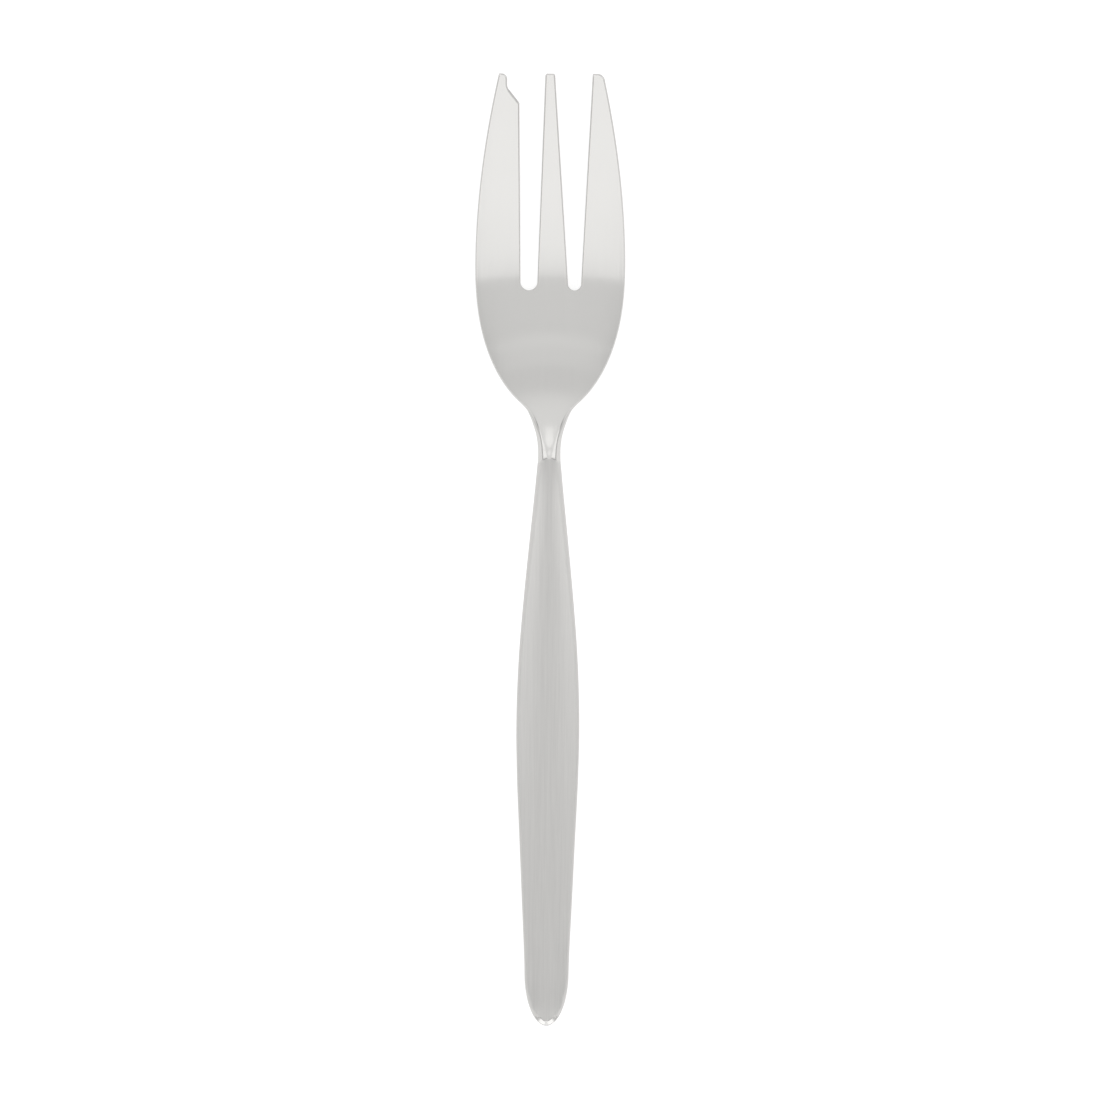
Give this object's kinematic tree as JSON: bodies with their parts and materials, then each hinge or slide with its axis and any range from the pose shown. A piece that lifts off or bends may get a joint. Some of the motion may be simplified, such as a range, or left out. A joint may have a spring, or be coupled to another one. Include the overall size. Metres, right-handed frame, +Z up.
{
  "type": "pastry fork",
  "caption": "Pastry fork stamped from stainless steel: crowned satin handle, slim polished neck, shallow bowl and slender tines, with a wide cutting tine notched at its tip.",
  "frame": {"origin": "centre of the bounding box in plan, on the table that the fork lies on with its hollow side up", "axes": "+Y along the fork from the handle's end to the tips, +Z up out of the bowl's hollow, +X to the plain outer tine, so the cutting tine is on the -X side"},
  "size_m": [0.0238, 0.15, 0.0117],
  "materials": {
    "stainless_steel": "mirror-polished head and neck, satin brushed handle"
  },
  "bodies": {
    "root": {"fork": "stainless_steel"}
  },
  "joints": []
}
